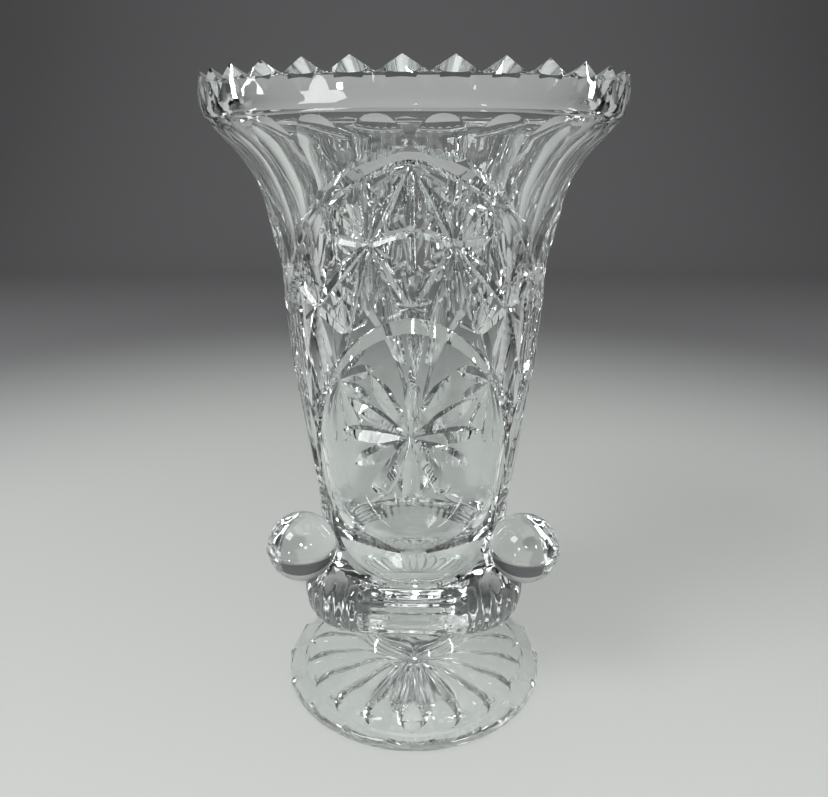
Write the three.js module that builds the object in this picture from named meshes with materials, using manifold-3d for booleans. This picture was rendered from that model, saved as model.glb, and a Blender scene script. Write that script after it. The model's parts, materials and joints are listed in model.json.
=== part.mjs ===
// Cut crystal vase: a trumpet-shaped body with a sawtooth rim and three sunk oval panels,
// three glass ball knobs, a three-lobed collar and a fluted pedestal foot.
// Millimetres, +Z up. The origin is on the vase's axis, on the surface that the foot rests on.
// Angles are counted around the axis from the front (-Y) towards +X.
import * as THREE from 'three';
import { mergeVertices } from 'three/addons/utils/BufferGeometryUtils.js';
import Module from 'manifold-3d';

// ---- driving dimensions -------------------------------------------------------------------

const TOTAL_HEIGHT = 200;
const FUSED_GAP = 0.3; // room left between two gathers of glass that are fused on the real vase
const SIDES = 3; // the pattern repeats three times around the vase

const TEETH_PER_SIDE = 11;
const TOOTH_HEIGHT = 3.3;
const TOOTH_OFFSET = -0.25; // first tooth's turn from the front, in tooth pitches
const RIM_RADIUS = 60.75;
const RIM_WALL = 5.2;
const TIP_INSET = 0.7; // the tooth tips stand this far inside the rim's outer edge
const RIM_HEIGHT = TOTAL_HEIGHT - TOOTH_HEIGHT; // edges of the rim, and the notches between the teeth

const BODY_BASE_HEIGHT = 52;
const BODY_BASE_RADIUS = 33;
const WAIST_HEIGHT = 62;
const WAIST_RADIUS = 32.4; // narrowest place, level with the ball knobs
const BOSS_BASE_HEIGHT = 38; // the body's round bottom, let into the collar
const CAVITY_FLOOR_HEIGHT = 42.4;

const PANEL_SINK = 1.6;
const PANEL_HALF_ANGLE = THREE.MathUtils.degToRad(56.5);
const PANEL_CENTRE_HEIGHT = 85;
const PANEL_RISE = 53.5; // from the panel's centre height up to its arched top
const PANEL_DROP = 33; // and down to its broad round bottom
const PANEL_TOP_POWER = 1.7; // superellipse powers: a slightly pointed arch above
const PANEL_BOTTOM_POWER = 2.7; // and a broad, full end below
const PANEL_BEVEL = 0.12; // width of the sloping border, as a fraction of the panel's half size

const COLLAR_BASE_HEIGHT = 26;
const COLLAR_TOP_HEIGHT = BODY_BASE_HEIGHT - FUSED_GAP;
const LOBE_RADIUS = 39.4; // the collar's reach under a ball knob

const KNOB_RADIUS = 11.2;
const KNOB_AXIS_DISTANCE = 41.2;
const KNOB_HEIGHT = 59.8;

const FOOT_RADIUS = 45.9;
const FOOT_EDGE_HEIGHT = 3;
const FOOT_RING_WIDTH = 4; // flat ground ring that the vase stands on
const FOOT_FLUTES = 18;
const FLUTE_DEPTH = 2;
const STEM_RADIUS = 14.5;
const FOOT_TOP_HEIGHT = COLLAR_BASE_HEIGHT - FUSED_GAP;

// ---- smoothness ---------------------------------------------------------------------------

const COLUMNS_PER_TOOTH = 4; // one on the tip, one in the notch and one on each slope
const BODY_COLUMNS = SIDES * TEETH_PER_SIDE * COLUMNS_PER_TOOTH;
const BODY_ROWS = 21;
const CAVITY_ROWS = 9;
const COLLAR_COLUMNS = 60;
const FOOT_COLUMNS = FOOT_FLUTES * 3;
const KNOB_COLUMNS = 20;
const KNOB_ROWS = 14;

// ---- outlines, as [radius, height] --------------------------------------------------------

const BODY_OUTLINE = outline([
  [BODY_BASE_RADIUS, BODY_BASE_HEIGHT],
  [WAIST_RADIUS, WAIST_HEIGHT],
  [35.6, 91],
  [39.3, 127],
  [41, 151],
  [45.5, 169],
  [50.8, 179],
  [58.7, 188],
  [RIM_RADIUS, RIM_HEIGHT],
]);

const CAVITY_OUTLINE = outline([
  [RIM_RADIUS - RIM_WALL, RIM_HEIGHT],
  [52.6, 188],
  [45.6, 179],
  [40.4, 169],
  [35.8, 151],
  [33.6, 127],
  [29.4, 91],
  [25.9, 70],
  [22.4, 60],
  [18.3, 53],
  [13.5, 47.6],
  [8, 43.6],
]);

const BOSS_OUTLINE = [
  [11, BOSS_BASE_HEIGHT + 0.9],
  [17.5, 42.2],
  [22.4, 47.5],
  [24.6, BODY_BASE_HEIGHT],
];

const LOBE_OUTLINE = [
  [STEM_RADIUS + 1, COLLAR_BASE_HEIGHT],
  [24, 27.8],
  [32.5, 29.9],
  [37.6, 32.4],
  [39.2, 36.5],
  [LOBE_RADIUS, 41.5],
  [LOBE_RADIUS - 0.6, 46],
  [LOBE_RADIUS - 3.4, 50],
  [BODY_BASE_RADIUS, COLLAR_TOP_HEIGHT],
];

const HOLLOW_OUTLINE = [
  [STEM_RADIUS + 1, COLLAR_BASE_HEIGHT],
  [23, 28.9],
  [28.5, 32.2],
  [31.8, 34.9],
  [BODY_BASE_RADIUS, 37.4],
  [BODY_BASE_RADIUS, 41.5],
  [BODY_BASE_RADIUS, 46],
  [BODY_BASE_RADIUS, 50],
  [BODY_BASE_RADIUS, COLLAR_TOP_HEIGHT],
];

const FOOT_TOP_OUTLINE = [
  [FOOT_RADIUS - 1, 0.9],
  [FOOT_RADIUS, FOOT_EDGE_HEIGHT],
  [FOOT_RADIUS - 1.2, 4.8],
  [38, 6],
  [28, 8.2],
  [20, 11],
  [STEM_RADIUS + 1, 16],
  [STEM_RADIUS, 20.5],
  [STEM_RADIUS + 1, FOOT_TOP_HEIGHT],
];

const wasm = await Module();
wasm.setup();

const group = new THREE.Group();
addPiece('vase_body', bodyGeometry(), 0xdde6e4);
addPiece('base_collar', collarGeometry(), 0xd6e0de);
addPiece('pedestal_foot', footGeometry(), 0xd9e3e0);
addPiece('ball_knob_right', knobGeometry(1 / 2), 0xe0e8e6);
addPiece('ball_knob_left', knobGeometry(-1 / 2), 0xe0e8e6);
addPiece('ball_knob_rear', knobGeometry(SIDES / 2), 0xe0e8e6);

export default group;

// ---- pieces -------------------------------------------------------------------------------

/** Open-mouthed body: boss, outside wall, toothed rim and inside wall in one closed stack of rings. */
function bodyGeometry() {
  const boss = BOSS_OUTLINE.map(([radius, height]) => () => [radius, height]);
  const outside = BODY_OUTLINE.getPoints(BODY_ROWS).map((point) => (
    (angle) => [point.x - PANEL_SINK * panelCover(angle, point.y), point.y]
  ));
  const inside = CAVITY_OUTLINE.getPoints(CAVITY_ROWS).map((point) => () => [point.x, point.y]);
  const tips = toothRing(RIM_RADIUS - TIP_INSET);
  const bottom = centre(BOSS_BASE_HEIGHT);
  const floor = centre(CAVITY_FLOOR_HEIGHT);
  return ringSolid([bottom, ...boss, ...outside, tips, ...inside, floor], BODY_COLUMNS);
}

/** Collar that swells into a lobe under each ball knob, with a socket for the body's boss. */
function collarGeometry() {
  const outside = LOBE_OUTLINE.map(([lobeRadius, lobeHeight], index) => (angle) => {
    const [radius, height] = HOLLOW_OUTLINE[index];
    const lobe = (1 - Math.cos(SIDES * angle)) / 2;
    return [
      THREE.MathUtils.lerp(radius, lobeRadius, lobe),
      THREE.MathUtils.lerp(height, lobeHeight, lobe),
    ];
  });
  const socket = BOSS_OUTLINE.map(([radius, height]) => () => [radius + FUSED_GAP / 2, height - FUSED_GAP]);
  const floor = centre(BOSS_BASE_HEIGHT - FUSED_GAP);
  return ringSolid([centre(COLLAR_BASE_HEIGHT), ...outside, ...socket.reverse(), floor], COLLAR_COLUMNS);
}

/** Round foot with a short stem, a flat ring to stand on and radial flutes hollowed underneath. */
function footGeometry() {
  const ringOuter = FOOT_RADIUS - 2;
  const ringInner = ringOuter - FOOT_RING_WIDTH;
  const relief = 0.5;
  const fluted = (radius, depth) => (angle) => {
    const hollow = (1 + Math.cos(FOOT_FLUTES * angle)) / 2;
    return [radius, relief + depth * hollow];
  };
  const rings = [
    centre(relief + FLUTE_DEPTH / 2),
    fluted(9, FLUTE_DEPTH / 2),
    fluted(26, FLUTE_DEPTH),
    fluted(ringInner - 1.5, 0.2),
    () => [ringInner, 0],
    () => [ringOuter, 0],
    ...FOOT_TOP_OUTLINE.map(([radius, height]) => () => [radius, height]),
    centre(FOOT_TOP_HEIGHT),
  ];
  return ringSolid(rings, FOOT_COLUMNS);
}

/** Ball of glass seated against the body and the collar; the turn is counted in panel widths. */
function knobGeometry(turn) {
  const angle = turn * 2 * Math.PI / SIDES;
  const ball = new THREE.SphereGeometry(KNOB_RADIUS, KNOB_COLUMNS, KNOB_ROWS);
  ball.rotateX(Math.PI / 2);
  ball.translate(0, -KNOB_AXIS_DISTANCE, KNOB_HEIGHT);
  ball.rotateZ(angle);
  const seats = [seatCutter(), offsetCollar()].map(toManifold);
  return seats.reduce((knob, seat) => knob.subtract(seat), toManifold(ball));
}

/** The body's outside wall grown by the gap, closed to the axis. */
function seatCutter() {
  const wall = BODY_OUTLINE.getPoints(BODY_ROWS).map((point) => (
    () => [point.x + FUSED_GAP, point.y]
  ));
  const rings = [centre(BODY_BASE_HEIGHT - 1), () => [BODY_BASE_RADIUS, BODY_BASE_HEIGHT - 1], ...wall];
  return ringSolid([...rings, centre(RIM_HEIGHT)], BODY_COLUMNS / 2);
}

/** The collar grown by the gap. */
function offsetCollar() {
  const grown = collarGeometry();
  const middle = (COLLAR_BASE_HEIGHT + COLLAR_TOP_HEIGHT) / 2;
  grown.translate(0, 0, -middle);
  grown.scale(1 + FUSED_GAP / BODY_BASE_RADIUS, 1 + FUSED_GAP / BODY_BASE_RADIUS, 1.03);
  return grown.translate(0, 0, middle);
}

// ---- shape helpers ------------------------------------------------------------------------

/** Smooth curve through [radius, height] points. */
function outline(points) {
  return new THREE.SplineCurve(points.map(([radius, height]) => new THREE.Vector2(radius, height)));
}

/** A ring shrunk to one point on the axis, which closes the end of a solid. */
function centre(height) {
  return () => [0, height];
}

/** Ring along the tooth tips and down into the notches; a tip stands TOOTH_OFFSET off the front. */
function toothRing(radius) {
  const pitch = 2 * Math.PI / (SIDES * TEETH_PER_SIDE);
  return (angle) => {
    const turns = angle / pitch - TOOTH_OFFSET;
    const rise = 1 - 2 * Math.abs(turns - Math.round(turns));
    return [radius, RIM_HEIGHT + TOOTH_HEIGHT * rise];
  };
}

/** 1 on a sunk panel's floor, 0 outside the panels, and a straight slope across the border. */
function panelCover(angle, height) {
  const pitch = 2 * Math.PI / SIDES;
  const across = Math.abs(angle - pitch * Math.round(angle / pitch)) / PANEL_HALF_ANGLE;
  const above = height > PANEL_CENTRE_HEIGHT;
  const along = Math.abs(height - PANEL_CENTRE_HEIGHT) / (above ? PANEL_RISE : PANEL_DROP);
  const power = above ? PANEL_TOP_POWER : PANEL_BOTTOM_POWER;
  const reach = (across ** power + along ** power) ** (1 / power);
  return THREE.MathUtils.clamp((1 - reach) / PANEL_BEVEL, 0, 1);
}

/** Closed solid through rings of [radius, height], listed anticlockwise in a radial section. */
function ringSolid(rings, columns) {
  const positions = [];
  const triangles = [];
  const starts = [];
  rings.forEach((ring, index) => {
    const isEnd = index === 0 || index === rings.length - 1;
    starts.push(positions.length / 3);
    for (let column = 0; column < (isEnd ? 1 : columns); column += 1) {
      const angle = column * 2 * Math.PI / columns;
      const [radius, height] = ring(angle);
      positions.push(radius * Math.sin(angle), -radius * Math.cos(angle), height);
    }
  });
  for (let index = 0; index < rings.length - 1; index += 1) {
    const lower = vertexOf(index);
    const upper = vertexOf(index + 1);
    for (let column = 0; column < columns; column += 1) {
      const next = (column + 1) % columns;
      if (index > 0) triangles.push(lower(column), lower(next), upper(column));
      if (index < rings.length - 2) triangles.push(lower(next), upper(next), upper(column));
    }
  }
  const geometry = new THREE.BufferGeometry();
  geometry.setAttribute('position', new THREE.Float32BufferAttribute(positions, 3));
  geometry.setIndex(triangles);
  return geometry;

  function vertexOf(index) {
    const isEnd = index === 0 || index === rings.length - 1;
    return (column) => starts[index] + (isEnd ? 0 : column);
  }
}

/** Manifold solid of a closed geometry, its shared vertices merged. */
function toManifold(geometry) {
  const bare = geometry.clone();
  bare.deleteAttribute('normal');
  bare.deleteAttribute('uv');
  const merged = mergeVertices(bare);
  const vertProperties = new Float32Array(merged.attributes.position.array);
  const triVerts = new Uint32Array(merged.index.array);
  return new wasm.Manifold(new wasm.Mesh({ numProp: 3, vertProperties, triVerts }));
}

/** Geometry of a manifold solid; a geometry is handed back as it is. */
function toGeometry(solid) {
  if (solid.isBufferGeometry) return solid;
  const { vertProperties, triVerts, numProp } = solid.getMesh();
  const geometry = new THREE.BufferGeometry();
  geometry.setAttribute('position', new THREE.BufferAttribute(vertProperties, numProp));
  geometry.setIndex(new THREE.BufferAttribute(triVerts, 1));
  return geometry;
}

/** Adds one clear glass piece to the vase. */
function addPiece(name, solid, color) {
  const material = new THREE.MeshStandardMaterial({ color, roughness: 0.04, metalness: 0 });
  material.transparent = true;
  material.opacity = 0.35;
  const mesh = new THREE.Mesh(toGeometry(solid), material);
  mesh.name = name;
  group.add(mesh);
}
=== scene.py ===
import json
import math

import bpy
import numpy as np
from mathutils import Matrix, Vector

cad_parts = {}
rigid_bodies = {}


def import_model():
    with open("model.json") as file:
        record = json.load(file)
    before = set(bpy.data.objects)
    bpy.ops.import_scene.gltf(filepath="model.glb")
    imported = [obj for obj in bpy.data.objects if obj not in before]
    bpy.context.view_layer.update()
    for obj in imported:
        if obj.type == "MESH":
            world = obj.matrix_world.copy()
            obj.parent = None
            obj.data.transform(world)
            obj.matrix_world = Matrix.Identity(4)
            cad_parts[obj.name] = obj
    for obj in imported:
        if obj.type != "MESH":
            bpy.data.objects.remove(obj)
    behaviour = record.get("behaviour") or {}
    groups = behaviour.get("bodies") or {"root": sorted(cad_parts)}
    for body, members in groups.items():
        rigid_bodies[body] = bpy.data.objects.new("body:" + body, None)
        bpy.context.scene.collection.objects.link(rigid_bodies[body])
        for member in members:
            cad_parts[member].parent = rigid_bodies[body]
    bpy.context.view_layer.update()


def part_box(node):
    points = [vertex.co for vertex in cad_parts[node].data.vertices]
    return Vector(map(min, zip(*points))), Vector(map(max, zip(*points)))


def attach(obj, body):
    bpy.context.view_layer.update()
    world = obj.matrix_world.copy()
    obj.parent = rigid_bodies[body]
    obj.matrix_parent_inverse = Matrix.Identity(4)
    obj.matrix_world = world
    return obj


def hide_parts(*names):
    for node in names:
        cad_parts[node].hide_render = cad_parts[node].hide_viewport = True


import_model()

MM = 0.001


def node_box(name):
    """Lowest and highest corner of a CAD node, in millimetres."""
    low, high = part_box(name)
    return np.array(low) / MM, np.array(high) / MM


# ---- sizes taken from the CAD nodes ----------------------------------------------------------

BODY_LOW, BODY_HIGH = node_box("vase_body")
COLLAR_HIGH = node_box("base_collar")[1]
FOOT_HIGH = node_box("pedestal_foot")[1]
KNOB_LOW, KNOB_HIGH = node_box("ball_knob_rear")

TOTAL_HEIGHT = BODY_HIGH[2]
RIM_RADIUS = BODY_HIGH[0]
BOSS_BASE = BODY_LOW[2]
BODY_BASE = COLLAR_HIGH[2] + 0.3
FOOT_RADIUS = FOOT_HIGH[1]
STEM_TOP = FOOT_HIGH[2] + 2.2
KNOB_RADIUS = (KNOB_HIGH[2] - KNOB_LOW[2]) / 2
KNOB_HEIGHT = (KNOB_HIGH[2] + KNOB_LOW[2]) / 2
KNOB_REACH = KNOB_HIGH[1] - KNOB_RADIUS

# ---- rim and bowl ----------------------------------------------------------------------------

SIDES = 3
PANEL_PITCH = 360 / SIDES
TEETH = 33
TOOTH_PITCH = 360 / TEETH
TOOTH_HEIGHT = 3.5
TOOTH_SHIFT = -0.125 * TOOTH_PITCH
TIP_INSET = 0.7
RIM_HEIGHT = TOTAL_HEIGHT - 3.3
RIM_WALL = 5.2
RIM_BEVEL = 1.4
RIM_INNER_RADIUS = RIM_RADIUS - RIM_WALL - RIM_BEVEL
CAVITY_FLOOR = BOSS_BASE + 4.4
COLUMNS = TEETH * 16

OUTSIDE_LEVELS = [(BODY_BASE, 140, 1.3), (140, 179, 1.0), (179, 190.5, 0.7), (190.5, RIM_HEIGHT - 0.3, 1.2)]
THROAT_LEVELS = (RIM_HEIGHT - 0.5, 180, -0.8)
BOWL_LEVELS = [(179, 140, 16), (134, 56, 14), (53, 46, 5)]
WELL_RISES = [2.6, 1.7, 0.9, 0.4, 0.0]
BOSS = [
    (11.0, BOSS_BASE + 0.9), (14.5, BOSS_BASE + 2.4), (17.5, 42.2), (20.2, 44.6), (22.4, 47.5), (24.0, 50.6),
    (31.0, BODY_BASE - 1.5),
]

# ---- oval panels, flutes and rim band --------------------------------------------------------

PANEL_CENTRE = 85.0
PANEL_EDGE = {"half": 56.5, "rise": 53.5, "drop": 33.0}
PANEL_FLOOR = {"half": 54.2, "rise": 49.6, "drop": 31.2}
PANEL_TOP_POWER = 1.7
PANEL_BOTTOM_POWER = 2.7
PANEL_SINK = 0.5
BORDER_SINK = 2.1
BORDER_WALL = 0.12

FLUTES = 24
FLUTE_FOOT = 136
FLUTE_TOP = 188.5
FLUTE_ROUND = 9.0
FLUTE_DEPTH = 0.15
FLUTE_END_SLOPE = 0.86
FLUTE_CLEARANCE = 0.4
FLUTE_COVER = 0.9
ARCH_LAND = 4.2
LAND_LOSS = 1.4
LAND_LOSS_ANGLES = (8, 40)

BAND_FOOT = 189.6
BAND_STEP = 0.5
BAND_EDGE = 0.8
BAND_ARCH_GAP = (3, 9)

# ---- mitre cuts ------------------------------------------------------------------------------

CUT_LIFT = 0.5
TANGENT_STEP = 0.3

ARCH_CUT = {"width": 1.5, "depth": 0.55, "sections": 60}
LAND_CUT = {"width": 3.8, "depth": 1.6, "start": 18.0, "end": 18.0, "sections": 60, "lean": 0.8}
MIDDLE_CUT = {"width": 2.7, "depth": 1.25, "start": 1.5, "end": 1.5}
MAIN_CUT = {"width": 2.6, "depth": 1.15, "start": 1.5, "end": 1.5}
FAN_CUT = {"width": 1.9, "depth": 0.85, "start": 9.0, "end": 1.6}

ARCH_TOP, ARCH_SHOULDER, SHOULDER = (0, 177.4), (13.7, 174.3), (28.6, 167.8)
STAR, EYE, MIDDLE, SIDE = (14.9, 158), (0, 161.4), (0, 141.8), (28.4, 159.3)
BORDER, FLANK, MEETING = (26.8, 133.6), (41, 140), (55.5, 147.2)
BROW, FLANK_TIP, SHOULDER_TIP = (7.5, 160.3), (34.5, 161.5), (47, 148.5)

MAIN_LINES = [
    (ARCH_TOP, STAR), (ARCH_SHOULDER, STAR), (SHOULDER, STAR), (SIDE, STAR), (MIDDLE, STAR), (BORDER, STAR),
    (FLANK, STAR), (FLANK, SHOULDER), (FLANK, MEETING), (FLANK, BORDER), (EYE, BROW, STAR),
    (SIDE, FLANK_TIP), (SHOULDER, SHOULDER_TIP),
]
FANS = [
    (ARCH_TOP, [(3.0, 164.5), (5.6, 163.5), (8.2, 165.0), (13.2, 168.5), (11.5, 171.5)]),
    (STAR, [(8.4, 168), (11.2, 169), (17.4, 169), (20.8, 168.5), (23.2, 161.5), (7.0, 154.7), (9.2, 148.5),
            (10.3, 142.8), (13.4, 139.9), (17.0, 138.8), (20.6, 138.8), (25.0, 147.6), (28.5, 152.5)]),
    (MIDDLE, [(2.7, 153), (5.2, 149.5), (8.0, 143.5), (6.5, 140.6)]),
    (BORDER, [(23.6, 145.0), (26.6, 147.2), (29.2, 148.8), (32.4, 145.0), (35.2, 141.4), (17.0, 138.0)]),
    (FLANK, [(33.5, 151.5), (37.2, 157.5), (39.6, 160.3), (42.6, 158.2), (45.8, 155.6), (49.0, 152.6),
             (52.2, 149.6), (50.0, 141.5), (49.6, 135.0), (52.4, 118.0), (53.2, 104.0), (50.2, 103.5),
             (46.6, 109.0), (43.4, 115.4), (39.4, 120.6), (35.0, 126.0)]),
    (SHOULDER, [(25.6, 160.6), (31.0, 156.5), (34.0, 157.0), (36.8, 158.5)]),
    (SIDE, [(21.8, 154.6), (30.6, 151.6)]),
]

STAR_CENTRE = (-0.4, 103.8)
STAR_RAYS = 12
STAR_START = 0.6
RAY_SLOPE = 0.4
UPPER_RAY = {"length": 21.5, "start": 12.0, "end": 7.0}
LOW_RAY = {"length": 22.5, "start": 17.0, "end": 1.6}
LOW_RAYS = (5, 6, 7)
RAY_WIDTH = 5.4
TOP_RAY_WIDTH = 3.0

PILLAR_ANGLE = 60
PILLAR_RAYS = (-2, -1, 0, 1, 2)
PILLAR_TOP = {"pitch": 3.9, "height": 145.0, "drop": 1.6}
PILLAR_FOOT = {"pitch": 1.1, "height": 96.0, "rise": 4.0}
PILLAR_GATHER = 0.8
PILLAR_WAVE = 0.28
PILLAR_STEP = 1.6
PILLAR_CUT = {"width": 2.2, "depth": 0.95, "start": 2.5, "end": 14.0}
SHORT_RAY_OFFSETS = (-1.9, 0, 1.9)
SHORT_RAY_ENDS = ((97, 84), (85.5, 75), (76.5, 66))
SHORT_RAY_CUT = {"width": 2.2, "depth": 0.9, "start": 3.0, "end": 3.0}

# ---- collar ----------------------------------------------------------------------------------

LOBE = [
    (13.0, 24.8), (17.0, 26.6), (24.0, 27.9), (32.5, 29.9), (37.5, 32.4), (39.1, 36.5), (39.3, 41.5),
    (38.7, 46), (36.2, 50), (33.9, 51.8), (32.2, 53.2),
]
HOLLOW = [
    (13.0, 24.8), (17.0, 26.9), (23.0, 28.9), (28.5, 32.2), (31.8, 34.9), (32.95, 37.4), (32.95, 41.5),
    (32.95, 46), (32.95, 50), (32.95, 51.8), (32.2, 53.2),
]
SOCKET = [
    (31.0, 53.4), (24.5, 54.2), (22.0, 53.0), (20.2, 50.0), (18.0, 46.6), (15.0, 43.6), (11.0, 41.6),
    (6.0, 40.6),
]
COLLAR_RINGS = 76
COLLAR_CUTS_FROM = (2.2, 3.6)
COLLAR_CUTS_TO = (7.4, 8.8)
FACET_PITCH = 7.5
FACET_DEPTH = 0.42
RIB_BASE = 37.4
RIB_PITCH = 3.1
RIB_DEPTH = 0.22

# ---- foot ------------------------------------------------------------------------------------

FOOT_FLUTES = 18
FOOT_RECESS = 0.35
RECESS_RADII = (6, 14, 22, 30, 38.8)
GROUND_RING = (39.6, 43.6)
# radius, height and scallop depth up the foot's edge
FOOT_EDGE = [
    (43.6, 0.0, 0.0), (44.9, 0.5, 0.0), (45.7, 1.6, 0.2), (FOOT_RADIUS, 2.7, 0.6), (45.7, 3.6, 1.3),
    (45.0, 4.35, 2.3), (43.6, 5.0, 3.1), (41.8, 5.45, 2.8), (40.2, 5.75, 1.6),
]
# distance below the stem's top, and radius
STEM = [(0, 14.9), (2.6, 15.1), (7, 14.6), (12.5, 15.9), (16.6, 20.5), (19.0, 28), (20.8, 35), (21.6, 38.6)]
STEM_REACH = 21.5
PETAL_DEPTH = 3.5
PETAL_SHOULDER = 29.5
PETAL_END = 38.4
PETAL_START = 2.0
PETAL_OVERLAP = 1.25
PETAL_LIFT = 1

# ---- knobs -----------------------------------------------------------------------------------

SEAM_HEIGHT = 0.4
SEAM_SPREAD = 3.5
KNOB_POLISH = 0.1

SHARP_EDGE = math.radians(17)


def smooth_curve(points):
    """Function through (x, y) points, with the slopes of a Catmull-Rom curve."""
    x, y = np.array(sorted(points), float).T
    slope = np.gradient(y, x)

    def value(at):
        at = np.clip(np.asarray(at, float), x[0], x[-1])
        i = np.clip(np.searchsorted(x, at) - 1, 0, len(x) - 2)
        width = x[i + 1] - x[i]
        t = (at - x[i]) / width
        return ((1 + 2 * t) * (1 - t) ** 2 * y[i] + t * (1 - t) ** 2 * width * slope[i]
                + t * t * (3 - 2 * t) * y[i + 1] + t * t * (t - 1) * width * slope[i + 1])

    return value


wall_radius = smooth_curve([
    (BODY_BASE - 2, 33.2), (BODY_BASE, 33.0), (62, 32.4), (91, 35.6), (127, 39.3), (138, 40.0), (146, 40.4),
    (151, 41.0), (156, 42.2), (160, 43.1), (164.5, 44.1), (169, 45.5), (174, 47.6), (179, 50.8), (184, 55.2),
    (188, 58.7), (191, 60.1), (194, 60.6), (RIM_HEIGHT, RIM_RADIUS),
])
cavity_radius = smooth_curve([
    (CAVITY_FLOOR, 3.0), (CAVITY_FLOOR + 0.5, 6.0), (CAVITY_FLOOR + 1.8, 9.4), (CAVITY_FLOOR + 5.2, 13.9),
    (53, 18.3), (60, 22.4), (70, 25.9), (91, 29.4), (127, 33.6),
    (151, 35.8), (160, 37.4), (169, 40.4), (176, 43.8), (183, 48.8), (186, 52.2), (188.5, 54.5),
    (190.5, 55.2), (193.5, 54.8), (RIM_HEIGHT, RIM_INNER_RADIUS),
])
arch_height = smooth_curve([
    (-8, 176.6), (0, 177.8), (13.7, 174.6), (28.6, 168.2), (40.5, 161.3), (47.3, 156.3), (53.6, 150.1),
    (57, 146.2), (60, 142.8), (64, 138.2),
])


def ramp(value, low, high):
    """Smooth step from 0 at low to 1 at high."""
    t = np.clip((value - low) / (high - low), 0, 1)
    return t * t * (3 - 2 * t)


def outward(angle):
    """Direction away from the axis at an angle in degrees."""
    turn = math.radians(angle)
    return np.array([math.sin(turn), -math.cos(turn), 0])


def arch_rise(angle, height):
    """Height above the arch line."""
    return height - arch_height(np.abs(angle))


def flute_depth(angle, height):
    """Depth of the upright flutes between the rim band and the arches; below 0 outside them."""
    pitch = 360 / FLUTES
    offset = (angle / pitch) % 1 - 0.5
    width = np.radians(pitch) * wall_radius(height)
    rounding = np.clip((height - FLUTE_TOP + FLUTE_ROUND) / FLUTE_ROUND, 0, None) ** 2
    hollow = FLUTE_DEPTH * (1 - 4 * offset ** 2 - rounding) * width
    arch = arch_height(np.abs(angle))
    run = 2 * np.radians(1) * wall_radius(arch)
    lean = (arch_height(np.abs(angle) + 1) - arch_height(np.abs(angle) - 1)) / run
    above = arch_rise(angle, height) / np.sqrt(1 + lean ** 2)
    land = ARCH_LAND - LAND_LOSS * ramp(np.abs(angle), *LAND_LOSS_ANGLES)
    return hollow - FLUTE_END_SLOPE * np.clip(land - above, 0, None)


def band_step(angle, height):
    """The wall steps in below the plain rim band, except near the arches."""
    return BAND_STEP * ramp(BAND_FOOT - height, 0, BAND_EDGE) * ramp(arch_rise(angle, height), *BAND_ARCH_GAP)


# ---- cutting bodies, each as vertices and faces ----------------------------------------------

def wall_point(angle, height, sink):
    """Point below the wall's surface by the sink, and the wall's outward direction there."""
    turn = math.radians(angle)
    radius = float(wall_radius(height)) - sink
    slope = float(wall_radius(height + 0.5) - wall_radius(height - 0.5))
    out = np.array([math.sin(turn), -math.cos(turn), -slope]) / math.hypot(1, slope)
    return np.array([radius * math.sin(turn), -radius * math.cos(turn), height]), out


def mitre(path, width, depth, start=2.0, end=2.0, sink=0.0, sections=12, lean=0.0):
    """V-shaped cut along a path of (angle, height) points. It rises to the surface over the start
    and end lengths. A lean of 0 sets the V upright; 1 sets its deepest line under its right edge."""
    path = np.array(path, float)
    unit = math.radians(1) * float(wall_radius(path[:, 1].mean()))
    steps = np.hypot(np.diff(path[:, 0]) * unit, np.diff(path[:, 1]))
    along = np.concatenate([[0], np.cumsum(steps)])
    length = along[-1]
    marks = length * (1 - np.cos(np.linspace(0, math.pi, sections))) / 2
    flank = width / 2 / depth

    def at(mark):
        return wall_point(np.interp(mark, along, path[:, 0]), np.interp(mark, along, path[:, 1]), sink)

    vertices = []
    for mark in marks:
        ahead = at(min(mark + TANGENT_STEP, length))[0]
        back = at(max(mark - TANGENT_STEP, 0))[0]
        point, out = at(mark)
        side = np.cross(ahead - back, out)
        side /= np.linalg.norm(side)
        rise = math.sin(min(1, mark / start) * math.pi / 2)
        fall = math.sin(min(1, (length - mark) / end) * math.pi / 2)
        deep = depth * rise * fall
        half = flank * (deep + CUT_LIFT)
        vertices.append(point - deep * out + lean * half * side)
        vertices.append(point + CUT_LIFT * out - half * side)
        vertices.append(point + CUT_LIFT * out + half * side)
    last = 3 * (sections - 1)
    faces = [(0, 2, 1), (last, last + 1, last + 2)]
    for k in range(0, last, 3):
        for a, b in ((0, 1), (1, 2), (2, 0)):
            faces.append((k + a, k + b, k + 3 + b, k + 3 + a))
    return vertices, faces


def both_sides(path, shape):
    """The same cut on the left and the right of the panel's middle."""
    mirrored = [(-angle, height) for angle, height in path]
    return [mitre(path, **shape), mitre(mirrored, **shape)]


def arch_path(reach, offset):
    """Path along the arch line to both sides, moved up by the offset."""
    return [(a, float(arch_height(abs(a))) + offset) for a in np.linspace(-reach, reach, 41)]


def lattice_cuts():
    """Star lattice between the arch and the oval panel: the arch line with its sloping land above,
    then the main mitres, then fans of finer rays."""
    cuts = [mitre(arch_path(55, -0.5), **ARCH_CUT), mitre(arch_path(34, 1.5), **LAND_CUT)]
    cuts += [mitre(line, **MIDDLE_CUT) for line in [(ARCH_TOP, EYE), (EYE, MIDDLE)]]
    for line in MAIN_LINES:
        cuts += both_sides(line, MAIN_CUT)
    for node, tips in FANS:
        for tip in tips:
            cuts += both_sides([node, tip], FAN_CUT)
    return cuts


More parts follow.
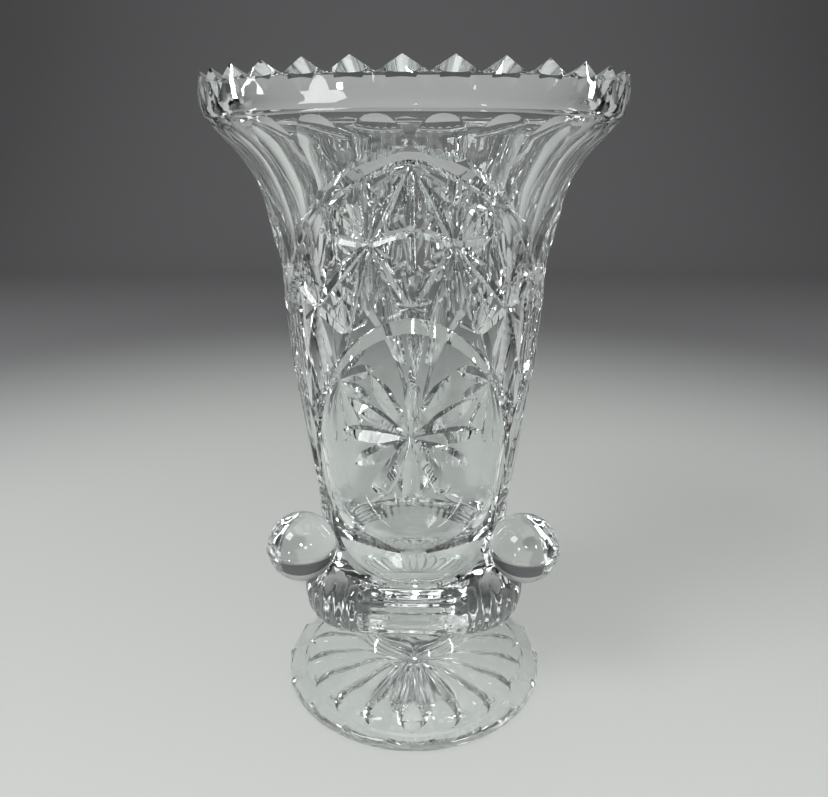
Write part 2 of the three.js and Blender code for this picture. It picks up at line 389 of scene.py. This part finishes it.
def flute_cut(columns=160, rows=72):
    """Hollows all the flutes of one side."""
    edge = PANEL_PITCH / 2
    levels = np.linspace(FLUTE_FOOT, FLUTE_TOP + 0.6, rows + 1)
    angle, height = np.meshgrid(np.linspace(-edge, edge, columns + 1), levels)
    inner = np.maximum(flute_depth(angle, height), -FLUTE_CLEARANCE) + band_step(angle, height)
    turn = np.radians(angle)
    shells = []
    for depth in (inner, np.full_like(inner, -FLUTE_COVER)):
        radius = wall_radius(height) - depth
        shell = np.stack([radius * np.sin(turn), -radius * np.cos(turn), height], axis=-1)
        shells.append(shell.reshape(-1, 3))
    wide = columns + 1
    size = wide * (rows + 1)
    faces = []
    for row in range(rows):
        for k in range(row * wide, row * wide + columns):
            faces.append((k, k + wide, k + wide + 1, k + 1))
            faces.append((size + k, size + k + 1, size + k + wide + 1, size + k + wide))
    border = [*range(columns), *range(columns, size - 1, wide), *range(size - 1, size - wide, -1),
              *range(size - wide, 0, -wide)]
    for a, b in zip(border, border[1:] + border[:1]):
        faces.append((a, b, size + b, size + a))
    return np.concatenate(shells).tolist(), faces


def oval(shape, directions):
    """Outline of an oval panel as (angle, height) points: a pointed arch above, a full end below."""
    points = []
    for k in range(directions):
        turn = 2 * math.pi * k / directions
        up = math.sin(turn) >= 0
        power = 2 / (PANEL_TOP_POWER if up else PANEL_BOTTOM_POWER)
        across = math.copysign(abs(math.cos(turn)) ** power, math.cos(turn))
        along = abs(math.sin(turn)) ** power * (shape["rise"] if up else -shape["drop"])
        points.append((shape["half"] * across, PANEL_CENTRE + along))
    return np.array(points)


def panel_cut(directions=168, rings=13):
    """Sinks an oval panel into the wall, deeper round its border."""
    middle = np.array([0.0, PANEL_CENTRE])
    edge, floor = oval(PANEL_EDGE, directions), oval(PANEL_FLOOR, directions)
    beyond = edge + BORDER_WALL * (edge - floor)

    def ring(outline, step, sink):
        return [wall_point(*(middle + (point - middle) * step / rings), sink)[0] for point in outline]

    vertices = [wall_point(*middle, PANEL_SINK)[0]]
    for step in range(1, rings + 1):
        vertices += ring(floor, step, PANEL_SINK)
    vertices += [wall_point(*point, BORDER_SINK)[0] for point in edge]
    for step in range(rings, 0, -1):
        vertices += ring(beyond, step, -CUT_LIFT)
    vertices.append(wall_point(*middle, -CUT_LIFT)[0])
    last = len(vertices) - 1
    faces = []
    for j in range(directions):
        after = (j + 1) % directions
        faces.append((0, 1 + after, 1 + j))
        faces.append((last, last - directions + j, last - directions + after))
        for row in range(2 * rings):
            low, high = 1 + row * directions, 1 + (row + 1) * directions
            faces.append((low + j, low + after, high + after, high + j))
    return vertices, faces


def panel_star_cuts():
    """Twelve leaf-shaped rays cut into the oval panel; the three lowest open out like chisels."""
    unit = math.radians(1) * float(wall_radius(STAR_CENTRE[1]))
    cuts = []
    for k in range(STAR_RAYS):
        turn = math.radians(360 / STAR_RAYS * k)
        ray = LOW_RAY if k in LOW_RAYS else UPPER_RAY
        ends = [(STAR_CENTRE[0] + reach * math.sin(turn) / unit, STAR_CENTRE[1] + reach * math.cos(turn))
                for reach in (STAR_START, ray["length"])]
        width = TOP_RAY_WIDTH if k == 0 else RAY_WIDTH
        cuts.append(mitre(ends, width, RAY_SLOPE * width, ray["start"], ray["end"], PANEL_SINK, sections=16))
    return cuts


def pillar_cuts():
    """Long wavy rays on the pillars between the oval panels, closing in towards the knobs."""
    cuts = []
    for k in PILLAR_RAYS:
        top, foot = PILLAR_ANGLE + PILLAR_TOP["pitch"] * k, PILLAR_ANGLE + PILLAR_FOOT["pitch"] * k
        first = PILLAR_TOP["height"] - PILLAR_TOP["drop"] * abs(k)
        last = PILLAR_FOOT["height"] + PILLAR_FOOT["rise"] * abs(k)
        path = []
        for j, height in enumerate(np.arange(first, last, -PILLAR_STEP)):
            t = (first - height) / (first - last)
            wave = PILLAR_WAVE if (j + abs(k)) % 2 else -PILLAR_WAVE
            path.append((foot + (top - foot) * (1 - t) ** PILLAR_GATHER + wave, float(height)))
        cuts.append(mitre(path, sections=2 * len(path), **PILLAR_CUT))
    for offset in SHORT_RAY_OFFSETS:
        angle = PILLAR_ANGLE + offset
        cuts += [mitre([(angle, top), (angle, foot)], **SHORT_RAY_CUT) for top, foot in SHORT_RAY_ENDS]
    return cuts


def petal(angle, sections=26, corners=14):
    """Long round-bottomed petal cut under the foot, narrow at the axis."""
    out = outward(angle)
    across = np.array([-out[1], out[0], 0])
    narrow = math.tan(math.pi / FOOT_FLUTES)
    vertices = []
    for k in range(sections):
        share = (1 + math.cos(math.pi * (k + 0.12) / (sections - 0.76))) / 2
        reach = PETAL_END - (PETAL_END - PETAL_START) * share
        full = min(reach, PETAL_SHOULDER)
        beyond = max(0.0, reach - PETAL_SHOULDER) / (PETAL_END - PETAL_SHOULDER)
        taper = math.sqrt(max(0.0, 1 - beyond ** 2))
        half = PETAL_OVERLAP * narrow * full * taper
        depth = PETAL_LIFT + PETAL_DEPTH * (full / PETAL_SHOULDER) ** 0.8 * taper
        for j in range(corners):
            side = 1 - 2 * j / (corners - 1)
            level = depth * (1 - side ** 2) - PETAL_LIFT
            vertices.append(reach * out + half * side * across + np.array([0, 0, level]))
    last = (sections - 1) * corners
    faces = [tuple(reversed(range(corners))), tuple(last + j for j in range(corners))]
    for k in range(0, last, corners):
        for j in range(corners):
            after = (j + 1) % corners
            faces.append((k + j, k + after, k + corners + after, k + corners + j))
    return vertices, faces


# ---- the six gathers of glass ----------------------------------------------------------------

def ring_mesh(name, radii, heights, columns=COLUMNS):
    """Closed mesh through rings given as arrays (ring, column), with a centre point at each end."""
    rings = len(radii)
    turn = np.radians(np.arange(columns) * 360 / columns)
    x = radii * np.sin(turn)
    y = -radii * np.cos(turn)
    points = np.stack([x, y, np.broadcast_to(heights, x.shape)], axis=-1).reshape(-1, 3)
    first, last = [0, 0, float(np.mean(heights[0]))], [0, 0, float(np.mean(heights[-1]))]
    points = np.concatenate([points, [first, last]]) * MM
    column = np.arange(columns)
    after = (column + 1) % columns
    ring = np.arange(rings - 1)[:, None] * columns
    quads = np.stack([ring + column, ring + after, ring + after + columns, ring + column + columns], -1)
    start, end = rings * columns, rings * columns + 1
    top = (rings - 1) * columns
    fans = [(start, int(b), int(a)) for a, b in zip(column, after)]
    fans += [(end, int(a) + top, int(b) + top) for a, b in zip(column, after)]
    mesh = bpy.data.meshes.new(name)
    mesh.from_pydata(points.tolist(), [], quads.reshape(-1, 4).tolist() + fans)
    mesh.update()
    piece = bpy.data.objects.new(name, mesh)
    bpy.context.scene.collection.objects.link(piece)
    return piece


def column_angles(columns=COLUMNS):
    """Each column's angle from the middle of its panel, between minus and plus half a pitch."""
    angle = np.arange(columns) * 360 / columns
    return (angle + PANEL_PITCH / 2) % PANEL_PITCH - PANEL_PITCH / 2


def baked(piece):
    """Mesh of the piece with its modifiers applied."""
    return bpy.data.meshes.new_from_object(piece.evaluated_get(bpy.context.evaluated_depsgraph_get()))


def cut_away(piece, cuts):
    """Takes every cutting body out of the piece, repeated on each of its sides."""
    tools = bpy.data.collections.new("tools")
    bpy.context.scene.collection.children.link(tools)
    for vertices, faces in cuts:
        points = []
        copies = []
        for side in range(SIDES):
            turn = math.radians(side * PANEL_PITCH)
            for x, y, z in vertices:
                points.append(((x * math.cos(turn) - y * math.sin(turn)) * MM,
                               (x * math.sin(turn) + y * math.cos(turn)) * MM, z * MM))
            copies += [tuple(v + side * len(vertices) for v in face) for face in faces]
        mesh = bpy.data.meshes.new("tool")
        mesh.from_pydata(points, [], copies)
        mesh.update()
        tools.objects.link(bpy.data.objects.new("tool", mesh))
    cut = piece.modifiers.new("cut", "BOOLEAN")
    cut.operation = "DIFFERENCE"
    cut.operand_type = "COLLECTION"
    cut.collection = tools
    cut.solver = "MANIFOLD"
    mesh = baked(piece)
    piece.modifiers.clear()
    piece.data = mesh
    for tool in list(tools.objects):
        bpy.data.meshes.remove(tool.data)
    bpy.data.collections.remove(tools)


def body_shape():
    """Revolved body with a sawtooth rim and a bowl, then the whole pattern cut into its wall."""
    levels = np.concatenate([np.arange(*span) for span in OUTSIDE_LEVELS])
    angle, height = np.meshgrid(column_angles(), levels)
    outside = wall_radius(height) - band_step(angle, height)
    tooth = (np.arange(COLUMNS) * 360 / COLUMNS - TOOTH_SHIFT) / TOOTH_PITCH
    rise = 1 - 2 * np.abs(tooth - np.round(tooth))
    rim = [(RIM_RADIUS - 0.15, 0.0), (RIM_RADIUS - TIP_INSET, TOOTH_HEIGHT), (RIM_INNER_RADIUS, 0.0)]
    down = np.concatenate([np.arange(*THROAT_LEVELS)] + [np.linspace(*span) for span in BOWL_LEVELS]
                          + [CAVITY_FLOOR + np.array(WELL_RISES)])
    rings = [(radius, np.full(COLUMNS, level)) for radius, level in BOSS]
    rings += list(zip(outside, height))
    rings += [(radius, RIM_HEIGHT + reach * rise) for radius, reach in rim]
    rings += [(float(cavity_radius(level)), np.full(COLUMNS, level)) for level in down]
    radii = np.array([np.broadcast_to(radius, COLUMNS) for radius, _ in rings])
    body = ring_mesh("vase_body_glass", radii, np.array([level for _, level in rings]))
    cut_away(body, [panel_cut(), flute_cut()] + lattice_cuts() + panel_star_cuts() + pillar_cuts())
    return body


def collar_shape(columns=360):
    """Collar with a mitred lobe under each knob, flush with the body below the oval panels. It holds
    the body's round bottom."""
    steps = np.linspace(0, len(LOBE) - 1, COLLAR_RINGS)
    outlines = []
    for outline in (LOBE, HOLLOW):
        outlines.append([smooth_curve(list(enumerate(axis)))(steps)[:, None] for axis in zip(*outline)])
    angle = column_angles(columns)[None, :]
    swell = (1 - np.cos(np.radians(SIDES * angle))) / 2
    radius, level = [lobe * swell + hollow * (1 - swell) for lobe, hollow in zip(*outlines)]
    upright = ramp(steps[:, None], *COLLAR_CUTS_FROM) * (1 - ramp(steps[:, None], *COLLAR_CUTS_TO))
    facet = np.abs((angle / FACET_PITCH) % 1 - 0.5) * 2
    ribs = 0.5 - 0.5 * np.cos((level - RIB_BASE) * 2 * math.pi / RIB_PITCH)
    cuts = FACET_DEPTH * facet * swell ** 0.6 + RIB_DEPTH * ribs * (1 - swell) ** 2
    radii = np.concatenate([radius - cuts * upright, [np.full(columns, r) for r, _ in SOCKET]])
    levels = np.concatenate([level, [np.full(columns, z) for _, z in SOCKET]])
    return ring_mesh("base_collar_glass", radii, levels, columns)


def foot_shape(columns=540):
    """Round foot: scallops round the top edge, a flat ground ring and long petals cut underneath."""
    turn = (np.arange(columns) * FOOT_FLUTES / columns + 0.5) % 1 - 0.5
    scallop = 1 - 4 * turn ** 2
    rings = [(radius, FOOT_RECESS) for radius in RECESS_RADII] + [(radius, 0) for radius in GROUND_RING]
    edge = [smooth_curve(list(enumerate(column))) for column in zip(*FOOT_EDGE)]
    for step in np.linspace(0.25, len(FOOT_EDGE) - 1, 36):
        radius, level, cut = [float(curve(step)) for curve in edge]
        rings.append((radius - cut * scallop, level))
    stem = smooth_curve(STEM)
    rings += [(float(stem(below)), STEM_TOP - below) for below in np.linspace(STEM_REACH, 0, 50)]
    radii = np.array([np.broadcast_to(radius, columns) for radius, _ in rings])
    levels = np.array([np.full(columns, float(level)) for _, level in rings])
    foot = ring_mesh("pedestal_foot_glass", radii, levels, columns)
    cut_away(foot, [petal(k * 360 / FOOT_FLUTES) for k in range(FOOT_FLUTES // SIDES)])
    return foot


def knob_shape(name, angle, columns=96, rows=64):
    """Fire-polished ball with a faint mould seam around its girth."""
    latitude = np.radians(np.linspace(-88, 88, rows))[:, None]
    seam = SEAM_HEIGHT * np.exp(-(np.degrees(latitude) / SEAM_SPREAD) ** 2)
    radius = (KNOB_RADIUS - KNOB_POLISH + seam) * np.ones((rows, columns))
    piece = ring_mesh(name, radius * np.cos(latitude), radius * np.sin(latitude), columns)
    move = Vector(KNOB_REACH * outward(angle) + np.array([0, 0, KNOB_HEIGHT])) * MM
    for vertex in piece.data.vertices:
        vertex.co += move
    return piece


# ---- fusing ----------------------------------------------------------------------------------

def fuse(pieces):
    """Joins closed pieces into one skin, then hands each piece its own share of it, closed by a
    cap that the neighbour's cap covers exactly. Cap faces have material index 1."""
    for index, piece in enumerate(pieces):
        origin = piece.data.attributes.new("origin", "INT", "FACE")
        origin.data.foreach_set("value", [index] * len(piece.data.polygons))
    whole = pieces[0].copy()
    whole.data = pieces[0].data.copy()
    bpy.context.scene.collection.objects.link(whole)
    for piece in pieces[1:]:
        join = whole.modifiers.new("join", "BOOLEAN")
        join.operation = "UNION"
        join.solver = "MANIFOLD"
        join.object = piece
    skin = baked(whole)
    bpy.data.objects.remove(whole)
    points = [list(vertex.co) for vertex in skin.vertices]
    shares = [[] for _ in pieces]
    for polygon, origin in zip(skin.polygons, skin.attributes["origin"].data):
        shares[origin.value].append(list(polygon.vertices))
    for piece, faces in zip(pieces, shares):
        close_share(piece, points, faces)


def close_share(piece, points, faces):
    """Gives the piece these faces of the shared skin, with a fan of cap faces over each open loop.
    A cap across the axis is a shallow cone, so it clears the round end of the bowl."""
    edges = dict.fromkeys((a, b) for face in faces for a, b in zip(face, face[1:] + face[:1]))
    open_edges = {b: a for a, b in edges if (b, a) not in edges}
    points = list(points)
    caps = []
    while open_edges:
        start, at = open_edges.popitem()
        loop = [start]
        while at != start:
            loop.append(at)
            at = open_edges.pop(at)
        middle = np.mean([points[v] for v in loop], axis=0)
        if math.hypot(middle[0], middle[1]) < 3 * MM:
            middle[2] -= 0.4 * np.linalg.norm(np.array(points[loop[0]]) - middle)
        points.append(middle.tolist())
        hub = len(points) - 1
        caps += [[hub, a, b] for a, b in zip(loop, loop[1:] + loop[:1])]
    used = sorted({v for face in faces + caps for v in face})
    new = {v: i for i, v in enumerate(used)}
    mesh = bpy.data.meshes.new(piece.name)
    mesh.from_pydata([points[v] for v in used], [], [[new[v] for v in face] for face in faces + caps])
    mesh.polygons.foreach_set("material_index", [0] * len(faces) + [1] * len(caps))
    mesh.polygons.foreach_set("use_smooth", [True] * (len(faces) + len(caps)))
    mesh.update()
    mesh.set_sharp_from_angle(angle=SHARP_EDGE)
    piece.data = mesh


# ---- materials -------------------------------------------------------------------------------

REFRACTION = 1.52
TINT_SCALE = 45
RIPPLE_HEIGHT = 0.0005

# deep tint, clear tint, ripples per metre, ripple strength
GLASS = {
    "body_glass": ((0.93, 0.965, 0.95), (0.97, 0.985, 0.98), 120, 0.06),
    "collar_glass": ((0.92, 0.96, 0.945), (0.96, 0.98, 0.97), 140, 0.1),
    "foot_glass": ((0.92, 0.965, 0.94), (0.965, 0.985, 0.975), 110, 0.08),
    "knob_glass": ((0.93, 0.965, 0.95), (0.97, 0.985, 0.98), 70, 0.12),
}


def new_material(name):
    """Node material with its node tree and its shader."""
    material = bpy.data.materials.new(name)
    material.use_nodes = True
    return material, material.node_tree, material.node_tree.nodes["Principled BSDF"]


def add_noise(tree, place, scale, detail):
    noise = tree.nodes.new("ShaderNodeTexNoise")
    noise.inputs["Scale"].default_value = scale
    noise.inputs["Detail"].default_value = detail
    tree.links.new(place.outputs["Object"], noise.inputs["Vector"])
    return noise.outputs["Fac"]


def add_ramp(tree, value, stops):
    """Colour ramp between two stops, each a position and a colour."""
    fade = tree.nodes.new("ShaderNodeValToRGB")
    for element, (position, color) in zip(fade.color_ramp.elements, stops):
        element.position = position
        element.color = (*color, 1)
    tree.links.new(value, fade.inputs["Fac"])
    return fade


def glass(name, deep, clear, grain, ripple):
    """Crystal whose tint drifts faintly between two colours, with a press ripple on its skin."""
    material, tree, shader = new_material(name)
    shader.inputs["Roughness"].default_value = 0.0
    shader.inputs["IOR"].default_value = REFRACTION
    shader.inputs["Transmission Weight"].default_value = 1.0
    place = tree.nodes.new("ShaderNodeTexCoord")
    tint = add_ramp(tree, add_noise(tree, place, TINT_SCALE, 3.0), [(0.35, deep), (0.65, clear)])
    tree.links.new(tint.outputs["Color"], shader.inputs["Base Color"])
    bump = tree.nodes.new("ShaderNodeBump")
    bump.inputs["Strength"].default_value = ripple
    bump.inputs["Distance"].default_value = RIPPLE_HEIGHT
    tree.links.new(add_noise(tree, place, grain, 1.0), bump.inputs["Height"])
    tree.links.new(bump.outputs["Normal"], shader.inputs["Normal"])
    return material


def fused_joint():
    """Unseen skin inside the glass, where two gathers are fused."""
    material, _, shader = new_material("fused_joint")
    shader.inputs["Alpha"].default_value = 0.0
    return material


def floor_material():
    """Pale around the vase, grey towards the backdrop."""
    material, tree, shader = new_material("floor")
    shader.inputs["Roughness"].default_value = 0.8
    place = tree.nodes.new("ShaderNodeTexCoord")
    distance = tree.nodes.new("ShaderNodeVectorMath")
    distance.operation = "LENGTH"
    tree.links.new(place.outputs["Object"], distance.inputs[0])
    stops = [(0.22, (0.44, 0.455, 0.44)), (0.62, (0.16, 0.16, 0.165))]
    fade = add_ramp(tree, distance.outputs["Value"], stops)
    fade.color_ramp.interpolation = "EASE"
    tree.links.new(fade.outputs["Color"], shader.inputs["Base Color"])
    return material


def upper_material():
    """Pale upper part of the backdrop, which the rim looks up to through its own thickness."""
    material, _, shader = new_material("upper backdrop")
    shader.inputs["Base Color"].default_value = (0.8, 0.8, 0.79, 1)
    shader.inputs["Roughness"].default_value = 0.8
    return material


# ---- stage, light and camera, in metres ------------------------------------------------------

STAGE_HALF = 2.4
STAGE_BACK = 1.3
STAGE_BEND = 0.4
STAGE_TOP = 2.6
STAGE_PALE_FROM = 0.455
STAGE_GAP = 0.00005

BASE_TARGET = (0, 0, 0)
VASE_TARGET = (0, 0, 0.1)
# place, target, size, power, whether it casts shadows
LIGHTS = {
    "key": ((-0.75, -0.5, 1.0), VASE_TARGET, (0.45, 0.45), 6, True),
    "fill": ((0.1, -0.2, 1.6), BASE_TARGET, (1.2, 1.2), 6.5, False),
    "flash": ((0.02, -0.5, 0.36), VASE_TARGET, (0.03, 0.03), 2.6, True),
    "left strip": ((-0.9, 0.12, 0.35), VASE_TARGET, (0.07, 0.6), 4.6, False),
    "right strip": ((0.9, 0.12, 0.35), VASE_TARGET, (0.07, 0.6), 4.2, False),
    "left glint": ((-0.5, -0.75, 0.12), VASE_TARGET, (0.05, 0.12), 0.6, False),
    "right glint": ((0.55, -0.7, 0.5), VASE_TARGET, (0.05, 0.12), 0.6, False),
}

CAMERA_DISTANCE = 0.2314
CAMERA_HEIGHT = 0.1806
CAMERA_AZIMUTH = math.radians(1.0)
CAMERA_PITCH = math.radians(18.5)
SENSOR_WIDTH = 36
FOCAL_SHARE = 740 / 828


def sweep():
    """Floor that curves up into a backdrop behind the vase, with a paler upper part."""
    flat_end = STAGE_BACK - STAGE_BEND
    line = [(-STAGE_HALF, 0.0), (flat_end, 0.0)]
    for k in range(1, 17):
        turn = math.pi / 2 * k / 16
        line.append((flat_end + STAGE_BEND * math.sin(turn), STAGE_BEND - STAGE_BEND * math.cos(turn)))
    line += [(STAGE_BACK, STAGE_PALE_FROM), (STAGE_BACK, STAGE_TOP)]
    points = [(x, y, z - STAGE_GAP) for y, z in line for x in (-STAGE_HALF, STAGE_HALF)]
    faces = [(2 * i, 2 * i + 1, 2 * i + 3, 2 * i + 2) for i in range(len(line) - 1)]
    mesh = bpy.data.meshes.new("floor")
    mesh.from_pydata(points, [], faces)
    mesh.polygons.foreach_set("use_smooth", [True] * len(faces))
    floor = bpy.data.objects.new("floor", mesh)
    bpy.context.scene.collection.objects.link(floor)
    mesh.materials.append(floor_material())
    mesh.materials.append(upper_material())
    mesh.polygons[len(faces) - 1].material_index = 1


def soft_light(name, place, target, size, power, shadow):
    data = bpy.data.lights.new(name, "AREA")
    data.shape = "RECTANGLE"
    data.size, data.size_y = size
    data.energy = power
    data.use_shadow = shadow
    light = bpy.data.objects.new(name, data)
    light.location = place
    light.rotation_euler = (Vector(target) - Vector(place)).to_track_quat("-Z", "Y").to_euler()
    bpy.context.scene.collection.objects.link(light)


def room_light():
    """Faint cool light from all round."""
    world = bpy.data.worlds.new("studio")
    world.use_nodes = True
    background = world.node_tree.nodes["Background"]
    background.inputs["Color"].default_value = (0.9, 0.95, 1.0, 1)
    background.inputs["Strength"].default_value = 0.05
    bpy.context.scene.world = world


def render_look():
    """Enough bounces for light to pass through both walls and the foot."""
    scene = bpy.context.scene
    scene.view_settings.view_transform = "Standard"
    scene.cycles.max_bounces = 28
    scene.cycles.transmission_bounces = 28
    scene.cycles.glossy_bounces = 8
    scene.cycles.diffuse_bounces = 2
    scene.cycles.caustics_refractive = False
    scene.cycles.caustics_reflective = False


def main_camera():
    """Level with the upper body, looking down at the vase as it stands on a table."""
    data = bpy.data.cameras.new("camera")
    data.sensor_width = SENSOR_WIDTH
    data.lens = FOCAL_SHARE * SENSOR_WIDTH
    data.clip_start = 0.01
    camera = bpy.data.objects.new("camera", data)
    away = CAMERA_DISTANCE
    camera.location = (away * math.sin(CAMERA_AZIMUTH), -away * math.cos(CAMERA_AZIMUTH), CAMERA_HEIGHT)
    camera.rotation_euler = (math.pi / 2 - CAMERA_PITCH, 0, CAMERA_AZIMUTH)
    bpy.context.scene.collection.objects.link(camera)
    bpy.context.scene.camera = camera


# ---- the vase on its stage -------------------------------------------------------------------

body = body_shape()
collar = collar_shape()
foot = foot_shape()
pieces = [
    (body, "vase_body", "body_glass"),
    (collar, "base_collar", "collar_glass"),
    (foot, "pedestal_foot", "foot_glass"),
]
for node, angle in (("ball_knob_right", 60), ("ball_knob_left", -60), ("ball_knob_rear", 180)):
    pieces.append((knob_shape(node + "_glass", angle), node, "knob_glass"))
fuse([piece for piece, _, _ in pieces])

joint = fused_joint()
finishes = {slot: glass(slot, *look) for slot, look in GLASS.items()}
for piece, node, slot in pieces:
    piece.data.materials.append(finishes[slot])
    piece.data.materials.append(joint)
    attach(piece, "root")
    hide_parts(node)
# the foot and the collar are clear, so the floor under them stays lit
foot.visible_shadow = False
collar.visible_shadow = False

sweep()
for name, settings in LIGHTS.items():
    soft_light(name, *settings)
room_light()
render_look()
main_camera()
